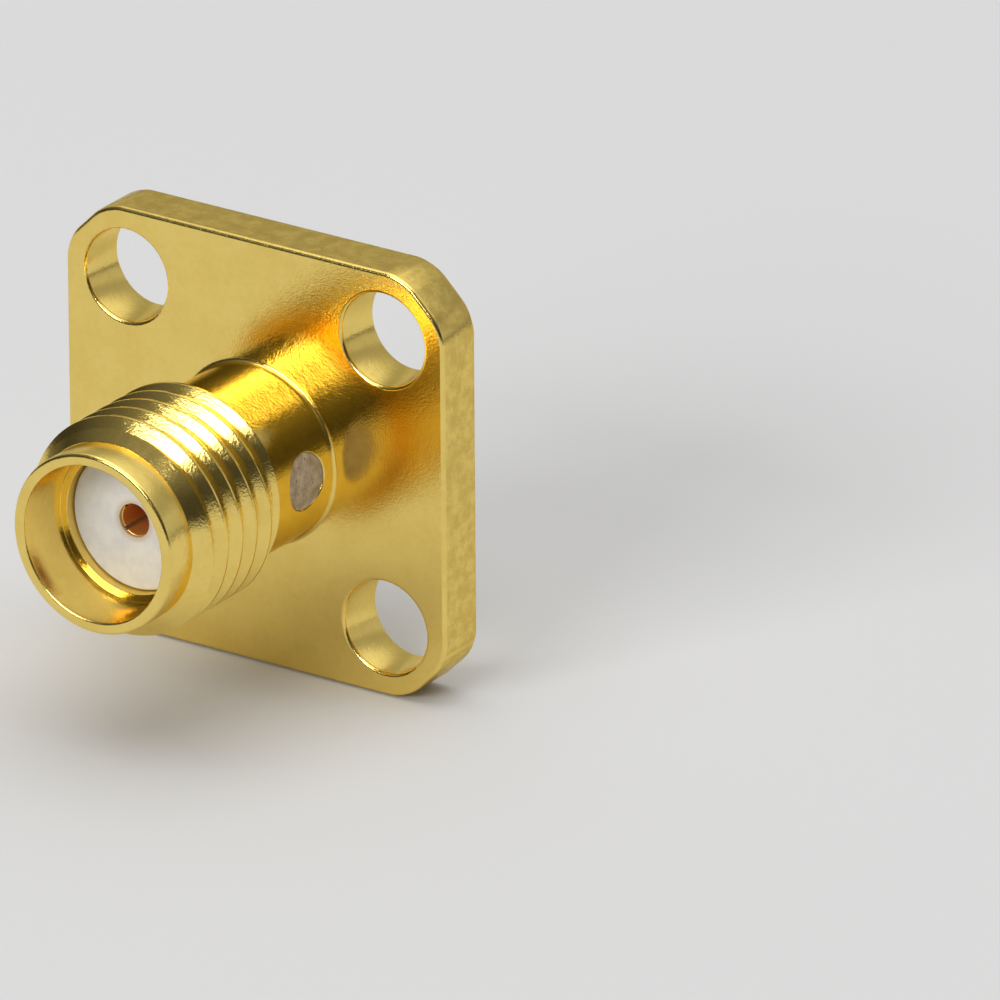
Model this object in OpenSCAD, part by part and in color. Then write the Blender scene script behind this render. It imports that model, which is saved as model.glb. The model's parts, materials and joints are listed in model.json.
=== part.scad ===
// Panel jack of a threaded coaxial connector: a square flange with four screw holes, a
// threaded barrel around a socket, and a plastic spigot with a flat solder tab at the back.
// The connector's axis is Y. The mouth faces -Y, the solder tab points to +Y and +Z is up.
// The origin is the centre of the flange's rear face, which seats on the panel.
// Lengths are in millimetres. The pieces are drawn along +Z from the panel to the mouth and
// are turned into the connector's frame at the end.

/* [Flange] */
// Side of the square flange
flange_side = 12.7; // [11:0.1:16]
// Thickness of the flange
flange_thickness = 1.6; // [1.2:0.1:3]
// Leg of the 45 degree cut on each corner
corner_cut = 1.35; // [0.6:0.05:1.8]
// Radius that blends each corner cut into the sides
corner_blend = 1; // [0.1:0.05:1]
// Broken edge around both faces
edge_break = 0.12; // [0.04:0.01:0.2]

/* [Screw holes] */
// Distance of each hole's centre from the two nearest sides of the flange
hole_inset = 2.03; // [1.86:0.01:2.4]
// Diameter of each screw hole
hole_d = 2.75; // [2.2:0.05:3.1]
// Broken edge at both ends of each screw hole
hole_break = 0.12; // [0.04:0.01:0.2]

/* [Barrel] */
// Diameter of the smooth neck in front of the flange
neck_d = 5.3; // [4.9:0.05:5.35]
// Length of the neck, from the flange's front face to the thread
neck_length = 3.23; // [2.7:0.01:6]
// Radius at the foot of the neck
neck_fillet = 0.12; // [0.05:0.01:0.3]
// Diameter of the smooth pilot between the thread and the mouth
pilot_d = 5.3; // [5.1:0.05:5.35]
// Length of the pilot
pilot_length = 1.03; // [0.4:0.01:2]

/* [Coupling thread] */
// Diameter over the crests of the right-hand thread
thread_d = 6.32; // [6.2:0.01:6.6]
// Turns of thread per inch
turns_per_inch = 36; // [32:1:44]
// Length of the thread with its front chamfer
thread_length = 3.67; // [2.9:0.01:8]
// Angle of the front chamfer from the axis
thread_chamfer = 65; // [45:1:75]
// Angle above the horizontal at which a crest runs out through the rear end
thread_turn = 64; // [0:1:359]

/* [Mouth] */
// Diameter of the mouth, which takes the sleeve of the mating plug
mouth_d = 4.6; // [4.3:0.05:4.8]
// Depth of the mouth, from the rim to the shoulder that the plug meets
mouth_depth = 1.75; // [1:0.05:2.4]
// Broken edge on the outside of the rim
rim_break = 0.1; // [0.02:0.01:0.15]
// Broken edge on the inside of the rim
mouth_break = 0.06; // [0.02:0.01:0.1]

/* [Insulator] */
// Diameter of the plastic insulator where it is pressed into the body
insulator_d = 4.12; // [3.6:0.02:4.2]
// Depth of the insulator's front face behind the mouth's shoulder
insulator_recess = 0.28; // [0.05:0.01:0.6]
// Taper over the pressed length, which lets the insulator's front end start into the body
insulator_taper = 0.02; // [0.01:0.01:0.04]
// Diameter of the insulator's spigot, which passes through the panel
spigot_d = 4.1; // [3.4:0.05:4.3]
// Length of the insulator behind the panel face
spigot_length = 2.65; // [0.6:0.05:6]
// Length of the pressed diameter that stands out behind the panel face
seat_stand = 0.1; // [0.05:0.01:0.3]
// Broken edge at both ends of the insulator
insulator_break = 0.06; // [0.02:0.01:0.15]
// Diameter of the hole that lets the mating pin in
pin_hole_d = 1; // [0.94:0.01:1.06]
// Thickness of the plastic in front of the contact
front_skin = 0.1; // [0.05:0.01:0.3]

/* [Centre contact] */
// Diameter of the contact
contact_d = 1.27; // [1.16:0.01:1.5]
// Broken edge at the front of the contact
contact_break = 0.05; // [0.02:0.01:0.08]
// Diameter of the socket in the contact's front
socket_d = 0.92; // [0.8:0.01:0.94]
// Depth of the socket
socket_depth = 2.9; // [2.4:0.1:3.1]
// Width of the two saw cuts that part the socket into fingers
slot_width = 0.12; // [0.06:0.01:0.16]
// Length of the saw cuts
slot_length = 2.2; // [1:0.1:2.3]
// Angle of the first saw cut from the horizontal
slot_turn = 45; // [0:5:90]
// Length of the solder tab behind the insulator
tab_length = 2.55; // [1:0.05:5]
// Thickness of the solder tab
tab_thickness = 0.24; // [0.15:0.01:0.6]

/* [Epoxy plug] */
// Diameter of the radial hole that holds the epoxy
epoxy_d = 1.65; // [1:0.05:1.9]
// Distance of that hole's axis from the flange's front face
epoxy_offset = 1.3; // [1.25:0.05:2.2]
// Angle of that hole above the horizontal
epoxy_turn = 3; // [-20:1:20]
// Depth of the epoxy's outer face below the neck
epoxy_sink = 0.03; // [0.01:0.01:0.1]
// Diameter of the contact in the groove that the epoxy keys into
groove_d = 0.9; // [0.7:0.01:1.04]
// Width of that groove
groove_width = 0.8; // [0.4:0.05:0.95]

/* [Fits] */
// Radial gap between pieces that are assembled into each other
fit_gap = 0.01; // [0.005:0.005:0.02]

/* [Hidden] */

$fn = 96;

gold = [0.83, 0.68, 0.35];
contact_gold = [0.86, 0.66, 0.30];
plastic_white = [0.90, 0.89, 0.86];
epoxy_pink = [0.68, 0.58, 0.50];

// How far a cut runs past the surface that it opens
overcut = 0.2;

// Places along the axis, measured forward from the panel face
thread_start = flange_thickness + neck_length;
thread_end = thread_start + thread_length;
mouth_z = thread_end + pilot_length;
shoulder_z = mouth_z - mouth_depth;
insulator_front = shoulder_z - insulator_recess;
contact_front = insulator_front - front_skin - fit_gap;
contact_rear = -spigot_length - tab_length;
epoxy_z = flange_thickness + epoxy_offset;

// Distance between the centres of neighbouring screw holes
hole_spacing = flange_side - 2 * hole_inset;

// Radii of the barrel and of the pieces inside it
neck_r = neck_d / 2;
pilot_r = pilot_d / 2;
crest_r = thread_d / 2;
mouth_r = mouth_d / 2;
insulator_r = insulator_d / 2;
insulator_front_r = insulator_r - insulator_taper / 2;
spigot_r = spigot_d / 2;
contact_r = contact_d / 2;
socket_r = socket_d / 2;
groove_r = groove_d / 2;

// Thread form: 60 degree flanks between a narrow crest and a narrow root
pitch = 25.4 / turns_per_inch;
thread_depth = 0.6 * pitch;
root_r = crest_r - thread_depth;
crest_half = pitch / 16;
root_half = crest_half + thread_depth * tan(30);
steps_per_turn = 36;
// How far the threaded stretch reaches into the pilot
thread_overlap = 0.05;

arc_steps = 4;

// ---- Helpers ----

// Points of an arc around centre, both ends included
function arc(centre, radius, from, to) =
    [for (i = [0 : arc_steps])
        let (angle = from + (to - from) * i / arc_steps)
        centre + radius * [cos(angle), sin(angle)]];

// Arc that blends two edges whose outward normals point to normal and to normal + 45 degrees
function corner_arc(vertex, normal, radius) =
    let (middle = normal + 22.5,
         centre = vertex - radius / cos(22.5) * [cos(middle), sin(middle)])
    arc(centre, radius, normal, normal + 45);

function turned(point, angle) =
    [point.x * cos(angle) - point.y * sin(angle), point.x * sin(angle) + point.y * cos(angle)];

// Turns a piece drawn along +Z so that its mouth faces -Y
module in_frame() {
    rotate([90, 0, 0]) children();
}

// A drill along +Z that also breaks the edges where it leaves the faces at 0 and at depth
module drill(radius, depth, edge) {
    reach = edge + overcut;
    translate([0, 0, -overcut]) cylinder(r = radius, h = depth + 2 * overcut);
    translate([0, 0, -overcut]) cylinder(r1 = radius + reach, r2 = radius, h = reach);
    translate([0, 0, depth - edge]) cylinder(r1 = radius, r2 = radius + reach, h = reach);
}

// Radial cylinder through one wall of the neck, from a floor beside the axis to the outside
module epoxy_channel(radius, floor_x) {
    rotate(epoxy_turn)
        translate([floor_x, 0, epoxy_z])
            rotate([0, 90, 0])
                cylinder(r = radius, h = neck_r);
}

// ---- Body: flange and barrel, turned, milled and threaded in one piece ----

// Square with cut corners and a small blend at each end of the cuts
module flange_outline() {
    half = flange_side / 2;
    inner = half - corner_cut;
    polygon([
        for (quarter = [0 : 90 : 270])
            each concat(
                corner_arc(turned([half, inner], quarter), quarter, corner_blend),
                corner_arc(turned([inner, half], quarter), quarter + 45, corner_blend))
    ]);
}

// A long bar whose four edges are broken, as wide as two opposite sides of the flange
module broken_bar(width) {
    half = width / 2;
    rotate([90, 0, 0])
        linear_extrude(2 * flange_side, center = true)
            polygon([
                [edge_break - half, 0], [half - edge_break, 0],
                [half, edge_break], [half, flange_thickness - edge_break],
                [half - edge_break, flange_thickness], [edge_break - half, flange_thickness],
                [-half, flange_thickness - edge_break], [-half, edge_break]
            ]);
}

module flange() {
    across_corners = sqrt(2) * (flange_side - corner_cut);
    intersection() {
        linear_extrude(flange_thickness) flange_outline();
        for (turn = [0, 90]) rotate(turn) broken_bar(flange_side);
        for (turn = [45, 135]) rotate(turn) broken_bar(across_corners);
    }
}

// Neck and pilot, joined through the middle of the thread, as one turned profile
module barrel_core() {
    foot_r = neck_r + neck_fillet;
    rotate_extrude()
        polygon(concat(
            [[0, 0], [foot_r, 0]],
            arc([foot_r, flange_thickness + neck_fillet], neck_fillet, -90, -180),
            [[neck_r, thread_start + thread_overlap],
             [pilot_r, thread_end - thread_overlap],
             [pilot_r, mouth_z - rim_break],
             [pilot_r - rim_break, mouth_z],
             [0, mouth_z]]));
}

// Right-hand screw, solid to the axis, that runs a full turn past both ends of the thread.
// Each ring of the winding holds the four corners of one thread: root, crest, crest, root.
module screw_solid() {
    section = [[root_r, -root_half], [crest_r, -crest_half], [crest_r, crest_half], [root_r, root_half]];
    rings = ceil((thread_length / pitch + 2) * steps_per_turn);
    winding = [
        for (ring = [0 : rings], corner = section)
            let (turn = ring / steps_per_turn)
            [corner.x * cos(360 * turn), corner.x * sin(360 * turn),
             thread_start + pitch * (turn - 1) + corner.y]
    ];
    rear_tip = len(winding);
    front_tip = rear_tip + 1;
    tips = [[0, 0, thread_start - 2 * pitch], [0, 0, thread_end + 2 * pitch]];
    // Corner 4 of a ring is corner 0 of the ring one turn later
    function at(ring, k) = k == 4 ? 4 * (ring + steps_per_turn) : 4 * ring + k;
    flanks = [
        for (ring = [0 : rings - 1], k = [0 : 3])
            if (k < 3 || ring < rings - steps_per_turn)
                each [[at(ring, k), at(ring, k + 1), at(ring + 1, k)],
                      [at(ring, k + 1), at(ring + 1, k + 1), at(ring + 1, k)]]
    ];
    rear_end = concat(
        [for (ring = [0 : steps_per_turn - 1]) [rear_tip, at(ring, 0), at(ring + 1, 0)]],
        [[rear_tip, for (k = [4 : -1 : 0]) at(0, k)]]);
    front_end = concat(
        [for (ring = [rings - steps_per_turn : rings - 1]) [front_tip, at(ring + 1, 3), at(ring, 3)]],
        [[front_tip, at(rings - steps_per_turn, 3), for (k = [0 : 3]) at(rings, k)]]);
    polyhedron(concat(winding, tips), concat(flanks, rear_end, front_end), convexity = 10);
}

// The screw between its square rear end and the chamfer that leads its front end to the pilot
module thread() {
    reach = crest_r + thread_overlap;
    slope = tan(thread_chamfer);
    intersection() {
        rotate(thread_turn) screw_solid();
        rotate_extrude()
            polygon([
                [0, thread_start],
                [reach, thread_start],
                [reach, thread_end - (reach - pilot_r) / slope],
                [pilot_r - thread_overlap, thread_end + thread_overlap / slope],
                [0, thread_end + thread_overlap / slope]
            ]);
    }
}

// The insulator's seat and the wider mouth in front of it
module axial_bores() {
    translate([0, 0, -overcut]) cylinder(r = insulator_r + fit_gap, h = mouth_z + 2 * overcut);
    translate([0, 0, shoulder_z]) cylinder(r = mouth_r, h = mouth_depth + overcut);
    translate([0, 0, mouth_z - mouth_break])
        cylinder(r1 = mouth_r, r2 = mouth_r + mouth_break + overcut, h = mouth_break + overcut);
}

module screw_holes() {
    for (x = [-1, 1], y = [-1, 1])
        translate([x * hole_spacing / 2, y * hole_spacing / 2, 0])
            drill(hole_d / 2, flange_thickness, hole_break);
}

module body() {
    color(gold) in_frame()
        difference() {
            union() {
                flange();
                barrel_core();
                thread();
            }
            axial_bores();
            screw_holes();
            epoxy_channel(epoxy_d / 2, 0);
        }
}

// ---- Insulator: plastic sleeve pressed into the body, with a thin skin over the contact ----

module insulator() {
    skin_back = insulator_front - front_skin;
    bore_r = contact_r + fit_gap;
    color(plastic_white) in_frame()
        difference() {
            rotate_extrude()
                polygon([
                    [bore_r, -spigot_length],
                    [spigot_r - insulator_break, -spigot_length],
                    [spigot_r, -spigot_length + insulator_break],
                    [spigot_r, -seat_stand],
                    [insulator_r, -seat_stand],
                    [insulator_front_r, insulator_front - insulator_break],
                    [insulator_front_r - insulator_break, insulator_front],
                    [pin_hole_d / 2, insulator_front],
                    [pin_hole_d / 2, skin_back],
                    [bore_r, skin_back]
                ]);
            epoxy_channel(epoxy_d / 2, 0);
        }
}

// ---- Centre contact: rod with a slotted socket, a captive groove and a milled solder tab ----

// Rod with the socket bored into its front and the groove turned around its middle
module contact_rod() {
    drill_point = socket_r * tan(31);
    rotate_extrude()
        polygon([
            [0, contact_rear],
            [contact_r, contact_rear],
            [contact_r, epoxy_z - groove_width / 2],
            [groove_r, epoxy_z - groove_width / 2],
            [groove_r, epoxy_z + groove_width / 2],
            [contact_r, epoxy_z + groove_width / 2],
            [contact_r, contact_front - contact_break],
            [contact_r - contact_break, contact_front],
            [socket_r, contact_front],
            [socket_r, contact_front - socket_depth],
            [0, contact_front - socket_depth - drill_point]
        ]);
}

// Two crossed saw cuts that part the socket into four fingers
module finger_slots() {
    for (turn = [0, 90])
        rotate(slot_turn + turn)
            translate([-contact_r - overcut, -slot_width / 2, contact_front - slot_length])
                cube([2 * (contact_r + overcut), slot_width, slot_length + overcut]);
}

// The two sides that are milled away from the rod to leave the flat tab
module tab_flats() {
    for (side = [0, 1])
        mirror([0, side, 0])
            translate([-contact_r - overcut, tab_thickness / 2, contact_rear - overcut])
                cube([2 * (contact_r + overcut), contact_r, tab_length + overcut]);
}

module centre_contact() {
    color(contact_gold) in_frame()
        difference() {
            contact_rod();
            finger_slots();
            tab_flats();
        }
}

// ---- Epoxy plug: fills the radial hole and keys into the contact's groove ----

module epoxy_plug() {
    key_height = groove_width - 2 * fit_gap;
    key_bottom = epoxy_z - key_height / 2;
    color(epoxy_pink) in_frame()
        difference() {
            union() {
                intersection() {
                    epoxy_channel(epoxy_d / 2 - fit_gap, fit_gap);
                    cylinder(r = neck_r - epoxy_sink, h = thread_start);
                }
                translate([0, 0, key_bottom]) cylinder(r = contact_r, h = key_height);
            }
            cylinder(r = groove_r + fit_gap, h = thread_start);
            cylinder(r = contact_r + fit_gap, h = key_bottom);
            translate([0, 0, key_bottom + key_height])
                cylinder(r = contact_r + fit_gap, h = thread_start);
        }
}

body();
insulator();
centre_contact();
epoxy_plug();
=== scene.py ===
"""Finished look of a threaded coaxial panel jack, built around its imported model.

The connector's axis is Y: the mouth faces -Y and the solder tab points to +Y. A place on it is
given by its radius, by how far forward of the panel face it lies, and by its turn around the axis,
counted from +X towards +Z. Shapes are worked out in millimetres and are scaled when they are done.
"""

import json
import logging
import math
from collections.abc import Callable, Iterable, Sequence
from dataclasses import dataclass, field
from enum import Enum

import bmesh
import bpy
from mathutils import Matrix, Vector, noise


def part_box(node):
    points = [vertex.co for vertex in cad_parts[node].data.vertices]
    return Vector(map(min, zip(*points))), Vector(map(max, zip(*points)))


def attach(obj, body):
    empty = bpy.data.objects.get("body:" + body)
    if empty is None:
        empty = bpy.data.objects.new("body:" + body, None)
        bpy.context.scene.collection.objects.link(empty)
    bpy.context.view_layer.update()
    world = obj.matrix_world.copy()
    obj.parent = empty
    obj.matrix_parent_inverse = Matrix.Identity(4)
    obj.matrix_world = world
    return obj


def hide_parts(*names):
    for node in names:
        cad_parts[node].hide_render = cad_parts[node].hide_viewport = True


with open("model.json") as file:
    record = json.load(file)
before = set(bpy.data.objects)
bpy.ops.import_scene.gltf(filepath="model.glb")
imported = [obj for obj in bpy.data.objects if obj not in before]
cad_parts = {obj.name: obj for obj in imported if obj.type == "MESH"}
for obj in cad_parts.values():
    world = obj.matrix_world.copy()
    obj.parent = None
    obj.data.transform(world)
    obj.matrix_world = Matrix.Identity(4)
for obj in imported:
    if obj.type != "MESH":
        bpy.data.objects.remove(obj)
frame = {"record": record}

LOG = logging.getLogger("panel_jack")
MM = 0.001
ROOT = "root"
# How far a cutting shape runs past the surface that it opens
OVERCUT = 0.2
# Angle in degrees from which an edge of a metal or plastic piece is a crease
CREASE = 38
# Steps around the radial hole and the plug in it
PLUG_SEGMENTS = 64

Point = tuple[float, float]
Corner = tuple[float, float, float]
Colour = tuple[float, float, float]


# ---- Sizes -------------------------------------------------------------------------------------


def mount(name: str) -> dict:
    """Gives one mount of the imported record.

    Args:
        name: The mount's name.

    Returns:
        The mount, with its place in metres and its dimensions in millimetres.
    """
    return next(m for m in frame["record"]["mounts"] if m["name"] == name)


def reach(node: str, axis: int) -> Point:
    """Gives how far a node reaches along one axis.

    Args:
        node: The node's name.
        axis: 0, 1 or 2 for X, Y or Z.

    Returns:
        The lowest and the highest coordinate in millimetres.
    """
    low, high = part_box(node)
    return low[axis] / MM, high[axis] / MM


@dataclass(frozen=True)
class JackSizes:
    """Sizes that several pieces share, most of them from the frame. Forward starts at the panel face."""

    flange_half: float = reach("body", 0)[1]
    mouth_front: float = -reach("body", 1)[0]
    hole_spacing: float = mount("flange_holes")["dims"]["spacing_x_mm"]
    hole_radius: float = mount("flange_holes")["dims"]["hole_r_mm"]
    mouth_radius: float = mount("mouth_bore")["dims"]["r_mm"]
    socket_radius: float = mount("socket_bore")["dims"]["r_mm"]
    socket_depth: float = mount("socket_bore")["dims"]["length_mm"]
    spigot_radius: float = mount("panel_spigot")["dims"]["r_mm"]
    insulator_radius: float = reach("insulator", 0)[1]
    insulator_front: float = -reach("insulator", 1)[0]
    insulator_rear: float = -reach("insulator", 1)[1]
    contact_radius: float = reach("centre_contact", 0)[1]
    contact_front: float = -reach("centre_contact", 1)[0]
    contact_rear: float = -reach("centre_contact", 1)[1]
    epoxy_forward: float = -sum(reach("epoxy_plug", 1)) / 2
    epoxy_radius: float = (reach("epoxy_plug", 1)[1] - reach("epoxy_plug", 1)[0]) / 2
    epoxy_turn: float = math.radians(3)
    fit_gap: float = 0.01
    neck_radius: float = 2.65
    flange_thickness: float = 1.6


SIZES = JackSizes()


# ---- Mesh work ---------------------------------------------------------------------------------


def place(radius: float, forward: float, turn: float) -> Vector:
    """Gives the point at a radius, a distance forward and a turn around the connector's axis."""
    return Vector((radius * math.cos(turn), -forward, radius * math.sin(turn)))


def rounded(corners: Sequence[Corner], steps: int = 4) -> list[Point]:
    """Rounds the corners of an outline.

    Args:
        corners: Radius, forward place and rounding radius of each corner, in order.
        steps: Number of straight pieces in each rounding.

    Returns:
        The points of the outline as radius and forward place.
    """
    points: list[Point] = []
    for index, (x, y, rounding) in enumerate(corners):
        if rounding == 0 or index in (0, len(corners) - 1):
            points.append((x, y))
            continue
        corner = Vector((x, y))
        before = (Vector(corners[index - 1][:2]) - corner).normalized()
        after = (Vector(corners[index + 1][:2]) - corner).normalized()
        half = before.angle(after) / 2
        centre = corner + (before + after).normalized() * rounding / math.sin(half)
        start = corner + before * rounding / math.tan(half) - centre
        sweep = start.angle_signed(corner + after * rounding / math.tan(half) - centre)
        for step in range(steps + 1):
            arm = start.copy()
            arm.rotate(Matrix.Rotation(-sweep * step / steps, 2))
            points.append(tuple(centre + arm))
    return points


def subdivided(points: Sequence[Point], longest: float) -> list[Point]:
    """Adds points to an outline so that no stretch is longer than the given length."""
    fine = [points[0]]
    for start, end in zip(points, points[1:]):
        pieces = max(1, math.ceil(math.dist(start, end) / longest))
        fine += [tuple(Vector(start).lerp(Vector(end), k / pieces)) for k in range(1, pieces + 1)]
    return fine


def chain(bm: bmesh.types.BMesh, points: Sequence[Point], closed: bool = False) -> list:
    """Draws an outline in the half plane at turn 0.

    Args:
        bm: The mesh that gets the outline.
        points: Radius and forward place of each point.
        closed: Whether the last point joins the first.

    Returns:
        The vertices and edges of the outline.
    """
    verts = [bm.verts.new(place(radius, forward, 0)) for radius, forward in points]
    ends = verts[1:] + verts[:1] if closed else verts[1:]
    return verts + [bm.edges.new(pair) for pair in zip(verts, ends)]


def spun(points: Sequence[Point], segments: int, closed: bool = False) -> bmesh.types.BMesh:
    """Turns an outline around the connector's axis into a closed skin.

    Args:
        points: Radius and forward place of each point of the outline.
        segments: Number of steps around the axis.
        closed: Whether the outline is a closed ring.

    Returns:
        The turned mesh, with its poles closed and its faces pointing out.
    """
    bm = bmesh.new()
    bmesh.ops.spin(bm, geom=chain(bm, points, closed), cent=(0, 0, 0), axis=(0, -1, 0),
                   angle=math.tau, steps=segments, use_merge=True)
    clean(bm)
    return bm


def edges_of(verts: Iterable[bmesh.types.BMVert]) -> list[bmesh.types.BMEdge]:
    """Gives every edge at these vertices once, in a fixed order."""
    return list(dict.fromkeys(e for v in verts for e in v.link_edges))


def clean(bm: bmesh.types.BMesh, distance: float = 1e-5) -> None:
    """Merges doubled vertices, drops collapsed faces and turns every face outwards."""
    bmesh.ops.remove_doubles(bm, verts=bm.verts, dist=distance)
    bmesh.ops.dissolve_degenerate(bm, edges=bm.edges, dist=distance)
    bmesh.ops.recalc_face_normals(bm, faces=bm.faces)


def verts_in(geometry: Iterable) -> list[bmesh.types.BMVert]:
    """Gives the vertices among mixed mesh elements."""
    return [v for v in geometry if isinstance(v, bmesh.types.BMVert)]


def loop_at(bm: bmesh.types.BMesh, forward: float) -> list[bmesh.types.BMEdge]:
    """Gives the open edges that lie in the plane at a distance forward of the panel face."""
    return [e for e in bm.edges if e.is_boundary
            and all(abs(v.co.y + forward) < 1e-4 for v in e.verts)]


@dataclass
class Skin:
    """A skin that grows ring by ring from an open loop around an axis parallel to Y."""

    bm: bmesh.types.BMesh
    edges: list[bmesh.types.BMEdge]
    centre: Vector = field(default_factory=Vector)

    @classmethod
    def from_circle(
        cls, bm: bmesh.types.BMesh, start: Point, centre: Vector, segments: int
    ) -> "Skin":
        """Starts a skin from a new circle.

        Args:
            bm: The mesh that gets the circle.
            start: Radius and forward place of the circle.
            centre: Point that the circle's axis passes through.
            segments: Number of vertices in the circle.

        Returns:
            The skin, which has no faces yet.
        """
        middle = Matrix.Translation(centre - Vector((0, start[1], 0)))
        upright = middle @ Matrix.Rotation(math.pi / 2, 4, "X")
        made = bmesh.ops.create_circle(bm, segments=segments, radius=start[0], matrix=upright)
        return cls(bm, edges_of(made["verts"]), centre)

    def grow(self, points: Iterable[Point]) -> "Skin":
        """Carries the open loop through rings of new faces.

        Args:
            points: Radius and forward place of each ring. A vertex keeps its turn.

        Returns:
            The skin itself, which now ends in the last ring.
        """
        for radius, forward in points:
            made = bmesh.ops.extrude_edge_only(self.bm, edges=self.edges)["geom"]
            for vert in verts_in(made):
                arm = vert.co - self.centre
                vert.co = self.centre + place(radius, forward, math.atan2(arm.z, arm.x))
            self.edges = [e for e in made if isinstance(e, bmesh.types.BMEdge)]
        return self


def to_object(bm: bmesh.types.BMesh, name: str) -> bpy.types.Object:
    """Makes an object in the scene from a mesh, which is used up."""
    mesh = bpy.data.meshes.new(name)
    bm.to_mesh(mesh)
    bm.free()
    made = bpy.data.objects.new(name, mesh)
    bpy.context.scene.collection.objects.link(made)
    return made


def carved(
    target: bmesh.types.BMesh, tool: bmesh.types.BMesh, how: str = "DIFFERENCE"
) -> bmesh.types.BMesh:
    """Cuts one closed mesh with another, or joins the two.

    Args:
        target: The mesh that is worked on. It is used up.
        tool: The mesh that cuts or is added. It is used up.
        how: Name of the boolean operation.

    Returns:
        The new mesh.
    """
    pair = [to_object(bm, "blank") for bm in (target, tool)]
    cut = pair[0].modifiers.new("cut", "BOOLEAN")
    cut.operation, cut.solver, cut.object = how, "EXACT", pair[1]
    result = bmesh.new()
    result.from_object(pair[0], bpy.context.evaluated_depsgraph_get())
    for blank in pair:
        mesh = blank.data
        bpy.data.objects.remove(blank)
        bpy.data.meshes.remove(mesh)
    clean(result)
    return result


def box(low: Sequence[float], high: Sequence[float]) -> bmesh.types.BMesh:
    """Makes a plain block between two corners, to cut with."""
    bm = bmesh.new()
    size = Vector(high) - Vector(low)
    middle = Matrix.Translation((Vector(high) + Vector(low)) / 2)
    bmesh.ops.create_cube(bm, size=1, matrix=middle @ Matrix.Diagonal((*size, 1)))
    return bm


def mark_creases(
    bm: bmesh.types.BMesh, crease: float, flats: Callable[[bmesh.types.BMFace], bool]
) -> None:
    """Smooths the shading everywhere but at creases and around flat faces.

    Args:
        bm: The mesh.
        crease: Angle in degrees from which an edge is a crease.
        flats: Tells whether a face is part of a flat area, whose border stays crisp.
    """
    wide, slight = math.radians(crease), math.radians(2)
    for face in bm.faces:
        face.smooth = True
    for edge in bm.edges:
        angle = edge.calc_face_angle(0)
        on_flat = angle > slight and any(flats(f) for f in edge.link_faces)
        edge.smooth = not (angle > wide or on_flat)


def finished(
    bm: bmesh.types.BMesh, name: str, material: bpy.types.Material, node: str
) -> bpy.types.Object:
    """Makes a piece from a mesh, in place of the CAD node that it stands for.

    Args:
        bm: The mesh in millimetres. It is used up.
        name: The piece's name.
        material: Its finish.
        node: The CAD node that it replaces.

    Returns:
        The piece, at the origin and riding on the connector's body.
    """
    bmesh.ops.scale(bm, vec=(MM, MM, MM), verts=bm.verts)
    piece = to_object(bm, name)
    piece.data.materials.append(material)
    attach(piece, ROOT)
    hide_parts(node)
    LOG.info("%s: %d faces", name, len(piece.data.polygons))
    return piece


# ---- Shader work -------------------------------------------------------------------------------


class Signal:
    """One output of a node. Sums written on it in Python become Math nodes."""

    def __init__(self, graph: "Graph", socket: bpy.types.NodeSocket) -> None:
        """Keeps the graph and the output socket."""
        self.graph, self.socket = graph, socket

    def _math(
        self, operation: str, first: "Signal | float", second: "Signal | float" = 0.0
    ) -> "Signal":
        """Adds a Math node."""
        return self.graph.node("ShaderNodeMath", {"operation": operation}, {0: first, 1: second})

    def __add__(self, other: "Signal | float") -> "Signal":
        """Adds."""
        return self._math("ADD", self, other)

    def __sub__(self, other: "Signal | float") -> "Signal":
        """Subtracts."""
        return self._math("SUBTRACT", self, other)

    def __rsub__(self, other: float) -> "Signal":
        """Subtracts from a number."""
        return self._math("SUBTRACT", other, self)

    def __mul__(self, other: "Signal | float") -> "Signal":
        """Multiplies."""
        return self._math("MULTIPLY", self, other)

    def __abs__(self) -> "Signal":
        """Drops the sign."""
        return self._math("ABSOLUTE", self)

    def __pow__(self, other: float) -> "Signal":
        """Raises to a power."""
        return self._math("POWER", self, other)

    __radd__ = __add__
    __rmul__ = __mul__

    def or_larger(self, other: "Signal") -> "Signal":
        """Gives the larger of the two."""
        return self._math("MAXIMUM", self, other)

    def between(self, low: float, high: float) -> "Signal":
        """Rises smoothly from 0 at low to 1 at high."""
        return self.graph.node("ShaderNodeMapRange", {"interpolation_type": "SMOOTHSTEP"},
                               {"Value": self, "From Min": low, "From Max": high})


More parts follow.
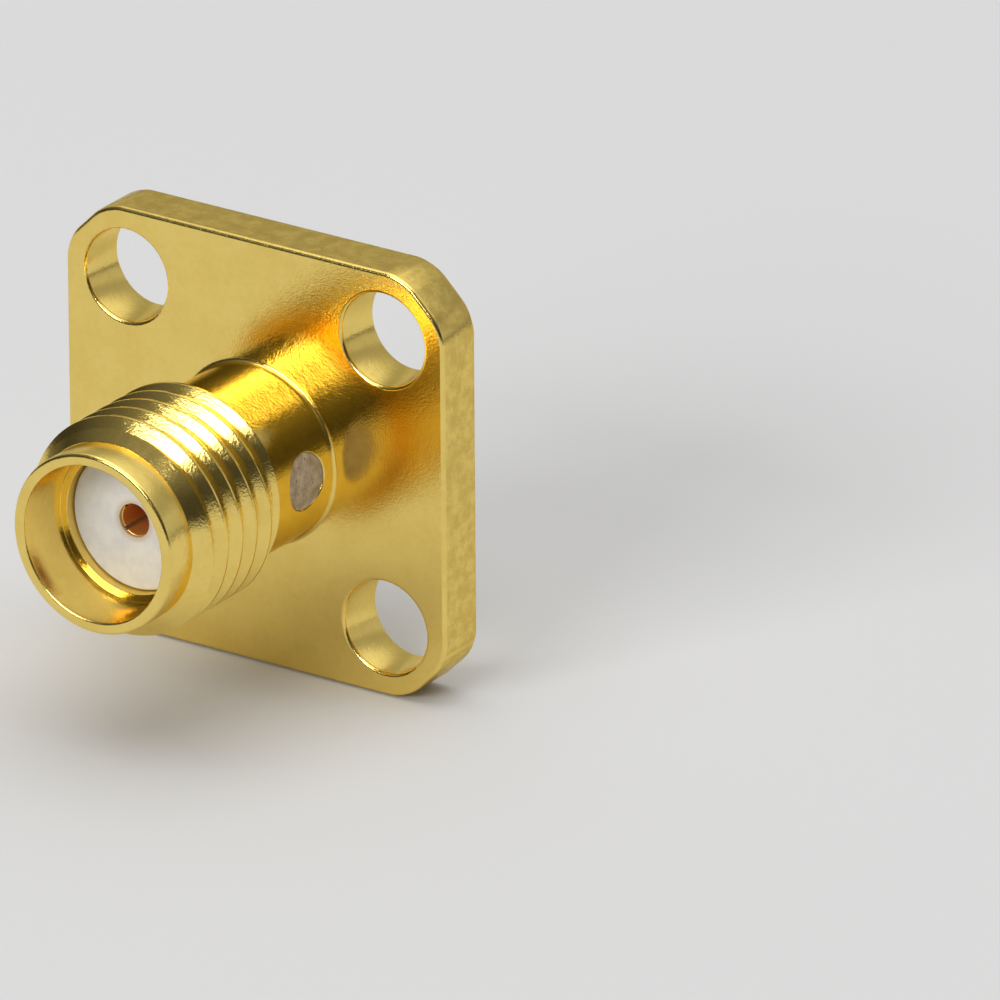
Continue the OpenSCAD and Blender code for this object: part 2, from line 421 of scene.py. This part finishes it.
class Graph:
    """Builds the nodes of a material or of the world."""

    def __init__(self, tree: bpy.types.NodeTree) -> None:
        """Starts from an empty node tree."""
        tree.nodes.clear()
        self.tree = tree

    def node(
        self, kind: str, settings: dict | None = None, values: dict | None = None,
        output: int | str = 0,
    ) -> Signal:
        """Adds a node.

        Args:
            kind: The node's type.
            settings: Its own settings, which are set first. "stops" fills a colour ramp.
            values: A number, a colour or a signal for each input socket.
            output: The output socket that is used.

        Returns:
            That output.
        """
        made = self.tree.nodes.new(kind)
        for key, value in (settings or {}).items():
            if key == "stops":
                fill_ramp(made.color_ramp, value)
            else:
                setattr(made, key, value)
        for key, value in (values or {}).items():
            if isinstance(value, Signal):
                self.tree.links.new(value.socket, made.inputs[key])
            else:
                made.inputs[key].default_value = value
        return Signal(self, made.outputs[output] if len(made.outputs) else None)

    def place_mm(self) -> Signal:
        """Gives the place on the object in millimetres."""
        coordinates = self.node("ShaderNodeTexCoord", output="Object")
        return self.node("ShaderNodeVectorMath", {"operation": "SCALE"},
                         {0: coordinates, "Scale": 1 / MM})

    def split(self, vector: Signal) -> tuple[Signal, Signal, Signal]:
        """Gives the three components of a vector."""
        parts = self.node("ShaderNodeSeparateXYZ", None, {0: vector}).socket.node
        return tuple(Signal(self, parts.outputs[k]) for k in range(3))

    def noise(self, vector: Signal, scale: float, detail: float, roughness: float = 0.6) -> Signal:
        """Gives cloudy noise from 0 to 1 around 0.5, with scale clouds to the millimetre."""
        return self.node("ShaderNodeTexNoise", None, {
            "Vector": vector, "Scale": scale, "Detail": detail, "Roughness": roughness})

    def away_from_axis(self, vector: Signal) -> Signal:
        """Gives the distance from the connector's axis."""
        x, _, z = self.split(vector)
        return (x * x + z * z) ** 0.5

    def mix(self, share: Signal, first: "Signal | Colour", second: "Signal | Colour") -> Signal:
        """Mixes two colours."""
        ends = [end if isinstance(end, Signal) else (*end, 1) for end in (first, second)]
        return self.node("ShaderNodeMix", {"data_type": "RGBA"}, {0: share, 6: ends[0], 7: ends[1]}, 2)

    def bump(self, height: Signal, distance: float) -> Signal:
        """Gives a normal that follows a height, with the millimetres that a height of 1 stands for."""
        return self.node("ShaderNodeBump", None, {
            "Height": height, "Distance": distance * MM, "Strength": 1.0})

    def surface(self, values: dict) -> None:
        """Ends a material in one Principled shader with these inputs."""
        shader = self.node("ShaderNodeBsdfPrincipled", None, values)
        self.node("ShaderNodeOutputMaterial", None, {"Surface": shader})


def fill_ramp(ramp: bpy.types.ColorRamp, stops: Sequence[Point]) -> None:
    """Gives a colour ramp its stops, each a position and a grey level."""
    while len(ramp.elements) < len(stops):
        ramp.elements.new(1.0)
    for element, (position, level) in zip(ramp.elements, stops):
        element.position, element.color = position, (level, level, level, 1)


def new_material(name: str) -> tuple[bpy.types.Material, Graph]:
    """Makes an empty node material and the graph that fills it."""
    material = bpy.data.materials.new(name)
    material.use_nodes = True
    return material, Graph(material.node_tree)


class Marks(Enum):
    """How a plated surface was cut."""

    TURNED = "turned"
    PLAIN = "plain"


@dataclass(frozen=True)
class GoldPlating:
    """Satin gold plating that shows the machining under it, with painted shade on the flange's sides and
    painted bounce light in the contact's bore.
    """

    name: str
    colour: Colour = (0.92, 0.69, 0.195)
    deep_colour: Colour = (0.86, 0.635, 0.165)
    # Darker colour of the flange's sides: mottled plating, partly painted shade of the dark things they
    # reflect
    side_mottle_and_shade: Colour = (0.66, 0.47, 0.12)
    # Orange inside the contact's socket: painted bounce light in the recess
    bore_bounce_light_colour: Colour = (0.92, 0.44, 0.12)
    edge_tint: Colour = (1.0, 0.9, 0.6)
    roughness: float = 0.15
    grain_height: float = 0.005
    bore_radius: float = 0.0
    bore_edge: float = 0.02
    side_edge: float = 0.04
    corner_depth: float = 1.5
    marks: Marks = Marks.TURNED

    def material(self) -> bpy.types.Material:
        """Makes the plating: cloudy tint, fine grain, lines left by the tool, darker sides that are partly
        painted shade, and painted bounce light in a bore.
        """
        material, graph = new_material(self.name)
        spot = graph.place_mm()
        clouds = graph.noise(spot, 1.1, 4)
        mottle = graph.noise(spot, 5.0, 3)
        grain = graph.noise(spot, 15.0, 2)
        tint = clouds * 0.6 + mottle * 0.4
        colour = graph.mix(tint.between(0.38, 0.66), self.colour, self.deep_colour)
        roughness = self.roughness + (mottle - 0.5) * 0.12 + (clouds - 0.5) * 0.08
        height = grain * 0.8 + mottle * 0.6
        if self.marks is Marks.TURNED:
            milled = self.milled_sides(graph, spot)
            patches = graph.noise(spot, 2.4, 5, 0.7).between(0.34, 0.62)
            # The flange's sides get a darker, patchy colour: partly mottled plating, partly painted shade
            colour = graph.mix(milled * (patches * 0.75 + 0.15), colour, self.side_mottle_and_shade)
            roughness = roughness + milled * 0.1
            height = height + self.tool_lines(graph, spot) * (milled * 0.5 + 0.25)
        # Inside the socket the colour turns to a painted orange bounce light, with rougher, less metallic
        # plating
        if self.bore_radius:
            outside = graph.away_from_axis(spot)
            bored = 1 - outside.between(self.bore_radius, self.bore_radius + self.bore_edge)
            colour = graph.mix(bored, colour, self.bore_bounce_light_colour)
            roughness = roughness + bored * 0.35
        graph.surface({
            "Base Color": colour,
            "Metallic": 1 - bored * 0.3 if self.bore_radius else 1.0,
            "Specular Tint": (*self.edge_tint, 1),
            "Roughness": roughness,
            "Normal": graph.bump(height, self.grain_height),
        })
        return material

    def milled_sides(self, graph: Graph, spot: Signal) -> Signal:
        """Gives 1 on the flange's side faces and 0 elsewhere."""
        x, forward, z = graph.split(spot)
        side, corner = SIZES.flange_half - 0.03, 2 * SIZES.flange_half - self.corner_depth
        straight = abs(x).or_larger(abs(z)).between(side - self.side_edge, side)
        slanted = (abs(x) + abs(z)).between(corner - 0.1, corner)
        return straight.or_larger(slanted) * (forward + SIZES.flange_thickness).between(0.05, 0.15)

    def tool_lines(self, graph: Graph, spot: Signal) -> Signal:
        """Gives fine rings across the connector's axis."""
        _, forward, _ = graph.split(spot)
        along = graph.node("ShaderNodeCombineXYZ", None, {"Y": forward})
        return graph.noise(along, 26.0, 2, 0.7)


@dataclass(frozen=True)
class WhitePlastic:
    """Waxy white plastic, thin enough in front of the contact for the gold to show through."""

    name: str
    colour: Colour = (0.80, 0.79, 0.76)
    shadow_colour: Colour = (0.72, 0.72, 0.71)
    warm_colour: Colour = (0.62, 0.44, 0.26)

    def material(self) -> bpy.types.Material:
        """Makes the plastic: faint clouds, soft turning marks, and a warm ring over the contact."""
        material, graph = new_material(self.name)
        spot = graph.place_mm()
        _, forward, _ = graph.split(spot)
        radius = graph.away_from_axis(spot)
        clouds = graph.noise(spot, 1.6, 3)
        grain = graph.noise(spot, 16.0, 3)
        plain = graph.mix(clouds.between(0.35, 0.65), self.colour, self.shadow_colour)
        edge, front = SIZES.contact_radius, -SIZES.insulator_front
        over_contact = 1 - radius.between(edge - 0.1, edge + 0.06)
        at_front = 1 - forward.between(front + 0.02, front + 0.2)
        colour = graph.mix(over_contact * at_front * 0.55, plain, self.warm_colour)
        around = graph.node("ShaderNodeCombineXYZ", None, {"X": radius, "Y": forward})
        rings = graph.noise(around, 14.0, 2)
        graph.surface({
            "Base Color": colour,
            "Roughness": 0.42 + (grain - 0.5) * 0.15,
            "Subsurface Weight": 0.35,
            "Subsurface Radius": (1.0, 0.95, 0.85),
            "Subsurface Scale": 0.35 * MM,
            "Normal": graph.bump(grain + rings * 0.6, 0.003),
        })
        return material


@dataclass(frozen=True)
class CuredEpoxy:
    """Pinkish grey epoxy with pale filler specks and small pits."""

    name: str
    colour: Colour = (0.36, 0.265, 0.185)
    pale_colour: Colour = (0.62, 0.52, 0.42)
    dark_colour: Colour = (0.17, 0.11, 0.07)

    def material(self) -> bpy.types.Material:
        """Makes the epoxy: cloudy body, specks, pits and a low uneven gloss."""
        material, graph = new_material(self.name)
        spot = graph.place_mm()
        clouds = graph.noise(spot, 3.0, 4)
        elsewhere = graph.node("ShaderNodeVectorMath", {"operation": "ADD"}, {0: spot, 1: (4, 9, 2)})
        specks = graph.noise(elsewhere, 9.0, 3, 0.7)
        body = graph.mix(clouds.between(0.3, 0.7), self.colour, self.pale_colour)
        speckled = graph.mix(specks.between(0.6, 0.7), body, self.pale_colour)
        colour = graph.mix((1 - specks).between(0.62, 0.7), speckled, self.dark_colour)
        graph.surface({
            "Base Color": colour,
            "Roughness": 0.35 + (clouds - 0.5) * 0.3,
            "Normal": graph.bump(specks + clouds, 0.02),
        })
        return material


# ---- Body --------------------------------------------------------------------------------------


@dataclass
class Body:
    """Flange and barrel, turned, milled and threaded in one piece and plated with gold."""

    corner_cut: float = 1.35
    corner_blend: float = 0.56
    edge_break: float = 0.11
    hole_break: float = 0.1
    neck_fillet: float = 0.11
    thread_start: float = 4.83
    thread_end: float = 8.5
    thread_radius: float = 3.16
    thread_turn: float = math.radians(64)
    pitch: float = 25.4 / 36
    crest_share: float = 0.125
    depth_share: float = 0.6
    crest_rounding: float = 0.02
    root_rounding: float = 0.02
    flank: float = math.radians(34)
    thread_chamfer: float = math.radians(50)
    pilot_radius: float = 2.65
    rim_rounding: float = 0.1
    mouth_break: float = 0.06
    shoulder: float = 7.78
    segments: int = 144

    def build(self, plating: bpy.types.Material) -> bpy.types.Object:
        """Builds the body and dresses it."""
        bm = bmesh.new()
        self.add_thread(bm)
        self.add_neck(bm)
        self.add_mouth(bm)
        self.add_flange_sides(bm)
        self.add_screw_holes(bm)
        for forward, normal in ((0, (0, 1, 0)), (SIZES.flange_thickness, (0, -1, 0))):
            bmesh.ops.triangle_fill(bm, edges=loop_at(bm, forward), use_beauty=True, normal=normal)
        clean(bm)
        bm = carved(carved(bm, self.epoxy_drill()), self.chamfer_tool())
        mark_creases(bm, CREASE, self.is_flat)
        return finished(bm, "gold_body", plating, "body")

    def is_flat(self, face: bmesh.types.BMFace) -> bool:
        """Tells whether a face belongs to the flange's flat front, rear or sides."""
        on_face = abs(face.normal.y) > 0.9999
        on_side = abs(face.normal.y) < 1e-3 and len(face.verts) == 4 and face.calc_area() > 1.5
        return on_face or on_side

    def thread_form(self) -> list[Point]:
        """Gives one pitch of the thread's outline, from root to root, around a crest at 0."""
        depth = self.depth_share * self.pitch
        crest = self.crest_share * self.pitch / 2
        foot = crest + depth * math.tan(self.flank)
        root = self.thread_radius - depth
        corners = [
            (root, -self.pitch / 2, 0),
            (root, -foot, self.root_rounding),
            (self.thread_radius, -crest, self.crest_rounding),
            (self.thread_radius, crest, self.crest_rounding),
            (root, foot, self.root_rounding),
            (root, self.pitch / 2, 0),
        ]
        return subdivided(rounded(corners, 3), 0.03)

    def add_thread(self, bm: bmesh.types.BMesh) -> None:
        """Winds one turn of the thread, repeats it, and cuts both ends square."""
        first = self.thread_start - self.pitch
        outline = chain(bm, [(radius, first + forward) for radius, forward in self.thread_form()])
        start = Matrix.Rotation(-self.thread_turn, 3, "Y")
        bmesh.ops.rotate(bm, cent=(0, 0, 0), matrix=start, verts=bm.verts)
        bmesh.ops.spin(bm, geom=outline, cent=(0, 0, 0), axis=(0, -1, 0), angle=math.tau,
                       steps=self.segments, dvec=(0, -self.pitch / self.segments, 0))
        turn = [*bm.verts, *bm.edges, *bm.faces]
        for count in range(1, math.ceil((self.thread_end - self.thread_start) / self.pitch) + 2):
            made = bmesh.ops.duplicate(bm, geom=turn)["geom"]
            bmesh.ops.translate(bm, vec=(0, -count * self.pitch, 0), verts=verts_in(made))
        bmesh.ops.remove_doubles(bm, verts=bm.verts, dist=1e-4)
        for forward, side in ((self.thread_start, 1), (self.thread_end, -1)):
            bmesh.ops.bisect_plane(bm, geom=[*bm.verts, *bm.edges, *bm.faces], dist=1e-6,
                                   plane_co=(0, -forward, 0), plane_no=(0, side, 0), clear_outer=True)

    def add_neck(self, bm: bmesh.types.BMesh) -> None:
        """Closes the thread's rear end and carries the neck to the flange."""
        radius, length = SIZES.neck_radius, self.thread_start - SIZES.flange_thickness
        rings = 14
        neck = [(radius, self.thread_start - length * k / rings) for k in range(rings)]
        foot = rounded([
            (radius, self.thread_start - length * (rings - 1) / rings, 0),
            (radius, SIZES.flange_thickness, self.neck_fillet),
            (radius + self.neck_fillet, SIZES.flange_thickness, 0),
        ])
        Skin(bm, loop_at(bm, self.thread_start)).grow([*neck, *foot[1:-1]])

    def add_mouth(self, bm: bmesh.types.BMesh) -> None:
        """Carries the pilot to the rim, and the mouth and the insulator's seat back to the panel face."""
        seat, front = SIZES.insulator_radius + SIZES.fit_gap, SIZES.mouth_front
        corners = [
            (self.pilot_radius, self.thread_end, 0),
            (self.pilot_radius, front, self.rim_rounding),
            (SIZES.mouth_radius, front, self.mouth_break),
            (SIZES.mouth_radius, self.shoulder, 0.02),
            (seat, self.shoulder, 0.02),
            (seat, 0, 0),
        ]
        Skin(bm, loop_at(bm, self.thread_end)).grow(subdivided(rounded(corners), 0.8))

    def chamfer_tool(self) -> bmesh.types.BMesh:
        """Makes the ring that chamfers the front end of the thread."""
        inner, outer, front = self.pilot_radius + 0.01, self.thread_radius + OVERCUT, self.thread_end
        back = front - (outer - inner) / math.tan(self.thread_chamfer)
        return spun([(inner, front + 0.1), (inner, front), (outer, back), (outer, front + 0.1)],
                    self.segments, closed=True)

    def add_flange_sides(self, bm: bmesh.types.BMesh) -> None:
        """Adds the flange's outline with its cut corners, blends and broken edges."""
        plate = bmesh.new()
        upright = Matrix.Rotation(math.pi / 2, 4, "X")
        bmesh.ops.create_grid(plate, x_segments=1, y_segments=1, size=SIZES.flange_half, matrix=upright)
        for offset, steps in ((self.corner_cut, 1), (self.corner_blend, 8)):
            bmesh.ops.bevel(plate, geom=plate.verts[:], offset=offset, segments=steps, profile=0.5,
                            material=-1, affect="VERTICES")
        made = bmesh.ops.extrude_face_region(plate, geom=plate.faces[:])["geom"]
        bmesh.ops.translate(plate, vec=(0, -SIZES.flange_thickness, 0), verts=verts_in(made))
        rims = [e for e in plate.edges if abs(e.verts[0].co.y - e.verts[1].co.y) < 1e-6]
        bmesh.ops.bevel(plate, geom=rims, offset=self.edge_break, segments=4, profile=0.5,
                        material=-1, affect="EDGES")
        faces = [f for f in plate.faces if len(f.verts) > 8]
        bmesh.ops.delete(plate, geom=faces, context="FACES_ONLY")
        mesh = bpy.data.meshes.new("plate")
        plate.to_mesh(mesh)
        plate.free()
        bm.from_mesh(mesh)
        bpy.data.meshes.remove(mesh)

    def add_screw_holes(self, bm: bmesh.types.BMesh) -> None:
        """Adds the walls of the four screw holes, with a broken edge at both ends."""
        wide = SIZES.hole_radius + self.hole_break
        wall = rounded([
            (wide, SIZES.flange_thickness, 0),
            (SIZES.hole_radius, SIZES.flange_thickness, self.hole_break),
            (SIZES.hole_radius, 0, self.hole_break),
            (wide, 0, 0),
        ])
        # The outer ring of each rounding is also the start and the end of the wall
        wall = [p for k, p in enumerate(wall) if k not in (0, len(wall) - 1)]
        offset = SIZES.hole_spacing / 2
        for x in (-offset, offset):
            for z in (-offset, offset):
                Skin.from_circle(bm, wall[0], Vector((x, 0, z)), 72).grow(wall[1:])

    def epoxy_drill(self) -> bmesh.types.BMesh:
        """Makes the drill for the epoxy's hole, which flares a little where it leaves the neck."""
        radius, neck = SIZES.epoxy_radius + SIZES.fit_gap, SIZES.neck_radius
        rounding, top, steps = 0.04, 0.3, 3
        rings = [(radius, 0.5 - neck), (radius, -rounding)]
        rings += [(radius + rounding * (1 - math.cos(a)), -rounding + rounding * math.sin(a))
                  for a in (math.radians(75) * k / steps for k in range(1, steps + 1))]
        rings += [(radius + 3 * rounding, 2 * rounding), (radius + 3 * rounding, top)]
        return radial_plug(rings, lambda across, height: (
            neck + height if height == top else neck_surface(across) + height))


def neck_surface(across: float) -> float:
    """Gives how far the neck's surface lies from the axis, seen from the side, off its middle line."""
    return math.sqrt(SIZES.neck_radius ** 2 - across ** 2)


def radial_plug(
    rings: Sequence[Point], depth: Callable[[float, float], float]
) -> bmesh.types.BMesh:
    """Makes a round plug that points out of the neck where the epoxy's hole is.

    Args:
        rings: Radius and height of each ring, from the inner end outwards.
        depth: Gives a point's distance from the connector's axis, from its place across and its height.

    Returns:
        The plug, closed at both ends.
    """
    bm = bmesh.new()
    lowest = min(height for _, height in rings)
    circle = bmesh.ops.create_circle(bm, segments=PLUG_SEGMENTS, radius=1.0)["verts"]
    edges = edges_of(circle)
    bmesh.ops.edgeloop_fill(bm, edges=edges)
    turns = {v: math.atan2(v.co.y, v.co.x) for v in bm.verts}

    def settle(verts: Iterable[bmesh.types.BMVert], radius: float, height: float) -> None:
        """Puts the vertices of one ring in place."""
        for vert in verts:
            across = radius * math.sin(turns[vert])
            outwards = SIZES.neck_radius + height if height == lowest else depth(across, height)
            vert.co = Vector((outwards, -SIZES.epoxy_forward - radius * math.cos(turns[vert]), across))

    settle(list(turns), *rings[0])
    for radius, height in rings[1:]:
        made = bmesh.ops.extrude_edge_only(bm, edges=edges)["geom"]
        ring = dict.fromkeys(verts_in(made))
        for vert in ring:
            around = [e.other_vert(vert) for e in vert.link_edges]
            turns[vert] = next(turns[v] for v in around if v in turns and v not in ring)
        settle(ring, radius, height)
        edges = [e for e in made if isinstance(e, bmesh.types.BMEdge)]
    bmesh.ops.edgeloop_fill(bm, edges=edges)
    bmesh.ops.rotate(bm, cent=(0, 0, 0), matrix=Matrix.Rotation(-SIZES.epoxy_turn, 3, "Y"), verts=bm.verts)
    clean(bm)
    return bm


# ---- Insulator ---------------------------------------------------------------------------------


@dataclass
class Insulator:
    """White plastic sleeve that holds the contact and stands out behind the flange."""

    edge_break: float = 0.08
    taper: float = 0.01
    seat_stand: float = 0.1
    skin: float = 0.1
    pin_hole_radius: float = 0.5
    segments: int = 128

    def build(self, plastic: bpy.types.Material) -> bpy.types.Object:
        """Builds the sleeve with its radial hole and dresses it."""
        bore = SIZES.contact_radius + SIZES.fit_gap
        front, rear = SIZES.insulator_front, SIZES.insulator_rear
        corners = [
            (bore, (front + rear) / 2, 0),
            (bore, rear, 0.03),
            (SIZES.spigot_radius, rear, self.edge_break),
            (SIZES.spigot_radius, -self.seat_stand, 0),
            (SIZES.insulator_radius, -self.seat_stand, 0),
            (SIZES.insulator_radius - self.taper, front, self.edge_break),
            (self.pin_hole_radius, front, 0.02),
            (self.pin_hole_radius, front - self.skin, 0),
            (bore, front - self.skin, 0),
            (bore, (front + rear) / 2 + 0.01, 0),
        ]
        bm = spun(subdivided(rounded(corners), 1.2), self.segments, closed=True)
        radius = SIZES.epoxy_radius + SIZES.fit_gap
        drill = radial_plug([(radius, 0.001 - SIZES.neck_radius), (radius, 0.3)],
                            lambda across, height: SIZES.neck_radius + height)
        bm = carved(bm, drill)
        mark_creases(bm, CREASE, lambda face: abs(face.normal.y) > 0.9999)
        return finished(bm, "white_insulator", plastic, "insulator")


# ---- Centre contact ----------------------------------------------------------------------------


@dataclass
class CentreContact:
    """Gold-plated pin with a slotted socket, a captive groove and a milled solder tab."""

    groove_radius: float = 0.45
    groove_width: float = 0.8
    slot_width: float = 0.12
    slot_length: float = 2.2
    slot_turn: float = math.radians(45)
    tab_thickness: float = 0.24
    edge_break: float = 0.05
    segments: int = 96

    def build(self, plating: bpy.types.Material) -> bpy.types.Object:
        """Builds the pin, saws its fingers, mills its tab and dresses it."""
        bm = self.rod()
        for turn in (0, math.pi / 2):
            bm = carved(bm, self.saw(self.slot_turn + turn))
        for side in (-1, 1):
            bm = carved(bm, self.mill(side))
        tips = [e for e in bm.edges if e.calc_face_angle(0) > math.radians(50)
                and min(-v.co.y for v in e.verts) < SIZES.insulator_rear - 0.01]
        bmesh.ops.bevel(bm, geom=tips, offset=0.02, segments=2, profile=0.5, material=-1, affect="EDGES")
        clean(bm)
        mark_creases(bm, CREASE, lambda face: face.calc_area() > 0.5 and len(face.verts) < 6)
        return finished(bm, "gold_contact", plating, "centre_contact")

    def rod(self) -> bmesh.types.BMesh:
        """Turns the rod with its bored socket and its groove."""
        radius, groove, half = SIZES.contact_radius, self.groove_radius, self.groove_width / 2
        front, rear, middle = SIZES.contact_front, SIZES.contact_rear, SIZES.epoxy_forward
        bottom = front - SIZES.socket_depth
        corners = [
            (0, rear, 0), (radius, rear, 0.03),
            (radius, middle - half, 0), (groove, middle - half, 0),
            (groove, middle + half, 0), (radius, middle + half, 0),
            (radius, front, self.edge_break), (SIZES.socket_radius, front, 0.04),
            (SIZES.socket_radius, bottom, 0),
            (0, bottom - SIZES.socket_radius * math.tan(math.radians(31)), 0),
        ]
        return spun(subdivided(rounded(corners), 0.8), self.segments)

    def saw(self, turn: float) -> bmesh.types.BMesh:
        """Makes the blade of one saw cut."""
        wide, half = SIZES.contact_radius + OVERCUT, self.slot_width / 2
        front = SIZES.contact_front
        blade = box((-wide, -front - OVERCUT, -half), (wide, self.slot_length - front, half))
        tilt = Matrix.Rotation(-turn, 3, "Y")
        bmesh.ops.rotate(blade, cent=(0, 0, 0), matrix=tilt, verts=blade.verts)
        return blade

    def mill(self, side: int) -> bmesh.types.BMesh:
        """Makes the block that is milled away above (1) or below (-1) the solder tab."""
        wide, rear = SIZES.contact_radius + OVERCUT, SIZES.contact_rear
        low, high = sorted((side * self.tab_thickness / 2, side * wide))
        return box((-wide, -SIZES.insulator_rear, low), (wide, -rear + OVERCUT, high))


# ---- Epoxy -------------------------------------------------------------------------------------


@dataclass
class EpoxyPlug:
    """Cured epoxy in the radial hole, keyed into the contact's groove."""

    sink: float = 0.03
    bumps: float = 0.01
    rings: int = 18

    def build(self, epoxy: bpy.types.Material) -> bpy.types.Object:
        """Builds the plug with its uneven outer face and its key, and dresses it."""
        radius, neck = SIZES.epoxy_radius, SIZES.neck_radius
        levels = [(radius, SIZES.fit_gap - neck), (radius, -0.8), (radius, -0.12)]
        levels += [(radius * (1 - k / self.rings), -self.sink) for k in range(self.rings)]
        bm = radial_plug(levels, self.uneven)
        clearance = SIZES.contact_radius + SIZES.fit_gap
        forward, reach_out = SIZES.epoxy_forward, radius + 0.3
        rod = spun([(0, forward - reach_out), (clearance, forward - reach_out),
                    (clearance, forward + reach_out), (0, forward + reach_out)], PLUG_SEGMENTS)
        bm = carved(bm, rod)
        half = CentreContact.groove_width / 2 - SIZES.fit_gap
        inner = CentreContact.groove_radius + SIZES.fit_gap
        outer = SIZES.contact_radius + 2 * SIZES.fit_gap
        key = spun([(inner, forward - half), (outer, forward - half),
                    (outer, forward + half), (inner, forward + half)], PLUG_SEGMENTS, closed=True)
        bm = carved(bm, key, "UNION")
        mark_creases(bm, 50, lambda face: False)
        return finished(bm, "epoxy_fill", epoxy, "epoxy_plug")

    def uneven(self, across: float, height: float) -> float:
        """Gives the distance from the axis of a point below the neck's surface, with bumps."""
        level = neck_surface(across) + height
        if height != -self.sink:
            return level
        return level + noise.noise(Vector((across * 3.1, height * 40, 1.7))) * self.bumps


# ---- Studio ------------------------------------------------------------------------------------


@dataclass
class Studio:
    """Pale floor with a painted pool of light, soft lights and a camera that looks down on the connector's
    mouth side.
    """

    azimuth: float = math.radians(34.80)
    elevation: float = math.radians(22.75)
    roll: float = math.radians(-0.65)
    distance: float = 600.0
    lens: float = 776.3
    aim_right: float = 6.809
    aim_up: float = -1.349
    floor_half: float = 3000.0
    floor_gap: float = 0.05
    floor_colour: Colour = (0.66, 0.66, 0.66)
    # Floor colour beyond the painted pool of light: painted shade for the light's falloff
    painted_falloff_colour: Colour = (0.14, 0.14, 0.14)
    # Radius in millimetres of the painted pool of light on the floor
    painted_pool: float = 120.0
    light_distance: float = 2000.0

    def build(self) -> None:
        """Makes the floor, the world, the lights and the camera."""
        self.add_floor()
        self.add_world()
        self.add_softbox("front_softbox", azimuth=-6, elevation=27, width=1260, height=600, power=23)
        self.add_softbox("top_softbox", azimuth=-20, elevation=84, width=1900, height=1900, power=11)
        self.add_camera()
        bpy.context.scene.view_settings.view_transform = "Standard"
        bpy.context.scene.view_settings.look = "None"

    def add_floor(self) -> None:
        """Lays a pale floor under the flange, with a painted pool of light: its colour darkens far away as
        painted falloff of the light.
        """
        material, graph = new_material("pale_floor")
        x, y, _ = graph.split(graph.place_mm())
        # Painted pool of light: the floor's colour darkens with distance from the connector
        painted_falloff = ((x * x + y * y) ** 0.5).between(self.painted_pool * 0.7, self.painted_pool * 1.6)
        colour = graph.mix(painted_falloff, self.floor_colour, self.painted_falloff_colour)
        graph.surface({"Base Color": colour, "Roughness": 0.9, "Specular IOR Level": 0.1})
        bm = bmesh.new()
        bmesh.ops.create_grid(bm, x_segments=1, y_segments=1, size=self.floor_half * MM)
        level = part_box("body")[0].z - self.floor_gap * MM
        bmesh.ops.translate(bm, verts=bm.verts, vec=(0, 0, level))
        floor = to_object(bm, "floor")
        floor.data.materials.append(material)

    def add_world(self) -> None:
        """Makes a studio that is dim low down in front and brighter behind and overhead."""
        world = bpy.data.worlds.new("studio")
        bpy.context.scene.world = world
        world.use_nodes = True
        graph = Graph(world.node_tree)
        _, depth, height = graph.split(graph.node("ShaderNodeTexCoord", output="Generated"))
        behind = depth.between(-0.15, 0.35)
        front = graph.node("ShaderNodeValToRGB", {"stops": (
            (0.0, 0.04), (0.28, 0.05), (0.42, 0.10), (0.8, 0.22), (0.9, 1.2))}, {0: height})
        back = graph.node("ShaderNodeValToRGB", {"stops": (
            (0.0, 0.50), (0.26, 0.56), (0.38, 0.38), (0.56, 0.46), (0.66, 0.82), (0.9, 1.2))}, {0: height})
        colour = graph.mix(behind, front, back)
        background = graph.node("ShaderNodeBackground", None, {"Color": colour})
        graph.node("ShaderNodeOutputWorld", None, {"Surface": background})

    def add_softbox(
        self, name: str, azimuth: float, elevation: float, width: float, height: float, power: float
    ) -> None:
        """Hangs a rectangular soft light that faces the connector.

        Args:
            name: The light's name.
            azimuth: Angle to the right of the front, in degrees.
            elevation: Angle above the floor, in degrees.
            width: Width in millimetres.
            height: Height in millimetres.
            power: Power in watts.
        """
        light = bpy.data.lights.new(name, "AREA")
        light.shape, light.size, light.size_y, light.energy = "RECTANGLE", width * MM, height * MM, power
        turn, rise = math.radians(azimuth), math.radians(elevation)
        towards = Vector((math.sin(turn) * math.cos(rise), -math.cos(turn) * math.cos(rise),
                          math.sin(rise)))
        lamp = bpy.data.objects.new(name, light)
        facing = (-towards).to_track_quat("-Z", "Y").to_matrix().to_4x4()
        lamp.matrix_world = Matrix.Translation(towards * (self.light_distance * MM)) @ facing
        bpy.context.scene.collection.objects.link(lamp)

    def add_camera(self) -> None:
        """Places the camera so that the connector stands in the left half of the frame."""
        back = Vector((math.sin(self.azimuth) * math.cos(self.elevation),
                       -math.cos(self.azimuth) * math.cos(self.elevation), math.sin(self.elevation)))
        right = (-back).cross(Vector((0, 0, 1))).normalized()
        up = right.cross(-back)
        right, up = (math.cos(self.roll) * right + math.sin(self.roll) * up,
                     math.cos(self.roll) * up - math.sin(self.roll) * right)
        target = Vector((0, -SIZES.flange_thickness, 0))
        eye = target + back * self.distance
        sight = (target + right * self.aim_right + up * self.aim_up - eye).normalized()
        side = sight.cross(up).normalized()
        turned = Matrix((side, side.cross(sight), -sight)).transposed()
        data = bpy.data.cameras.new("camera")
        data.lens, data.sensor_width, data.clip_start, data.clip_end = self.lens, 36.0, 0.01, 20.0
        camera = bpy.data.objects.new("camera", data)
        camera.matrix_world = Matrix.Translation(eye * MM) @ turned.to_4x4()
        bpy.context.scene.collection.objects.link(camera)
        bpy.context.scene.camera = camera


# ---- Scene -------------------------------------------------------------------------------------


def main() -> None:
    """Builds the studio and the four pieces."""
    logging.basicConfig(level=logging.INFO, format="%(name)s: %(message)s")
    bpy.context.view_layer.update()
    Studio().build()
    Body().build(GoldPlating("satin_gold").material())
    Insulator().build(WhitePlastic("white_plastic").material())
    bore = SIZES.socket_radius + 0.01
    CentreContact().build(GoldPlating("contact_gold", bore_radius=bore, marks=Marks.PLAIN).material())
    EpoxyPlug().build(CuredEpoxy("cured_epoxy").material())


if __name__ == "__main__":
    main()
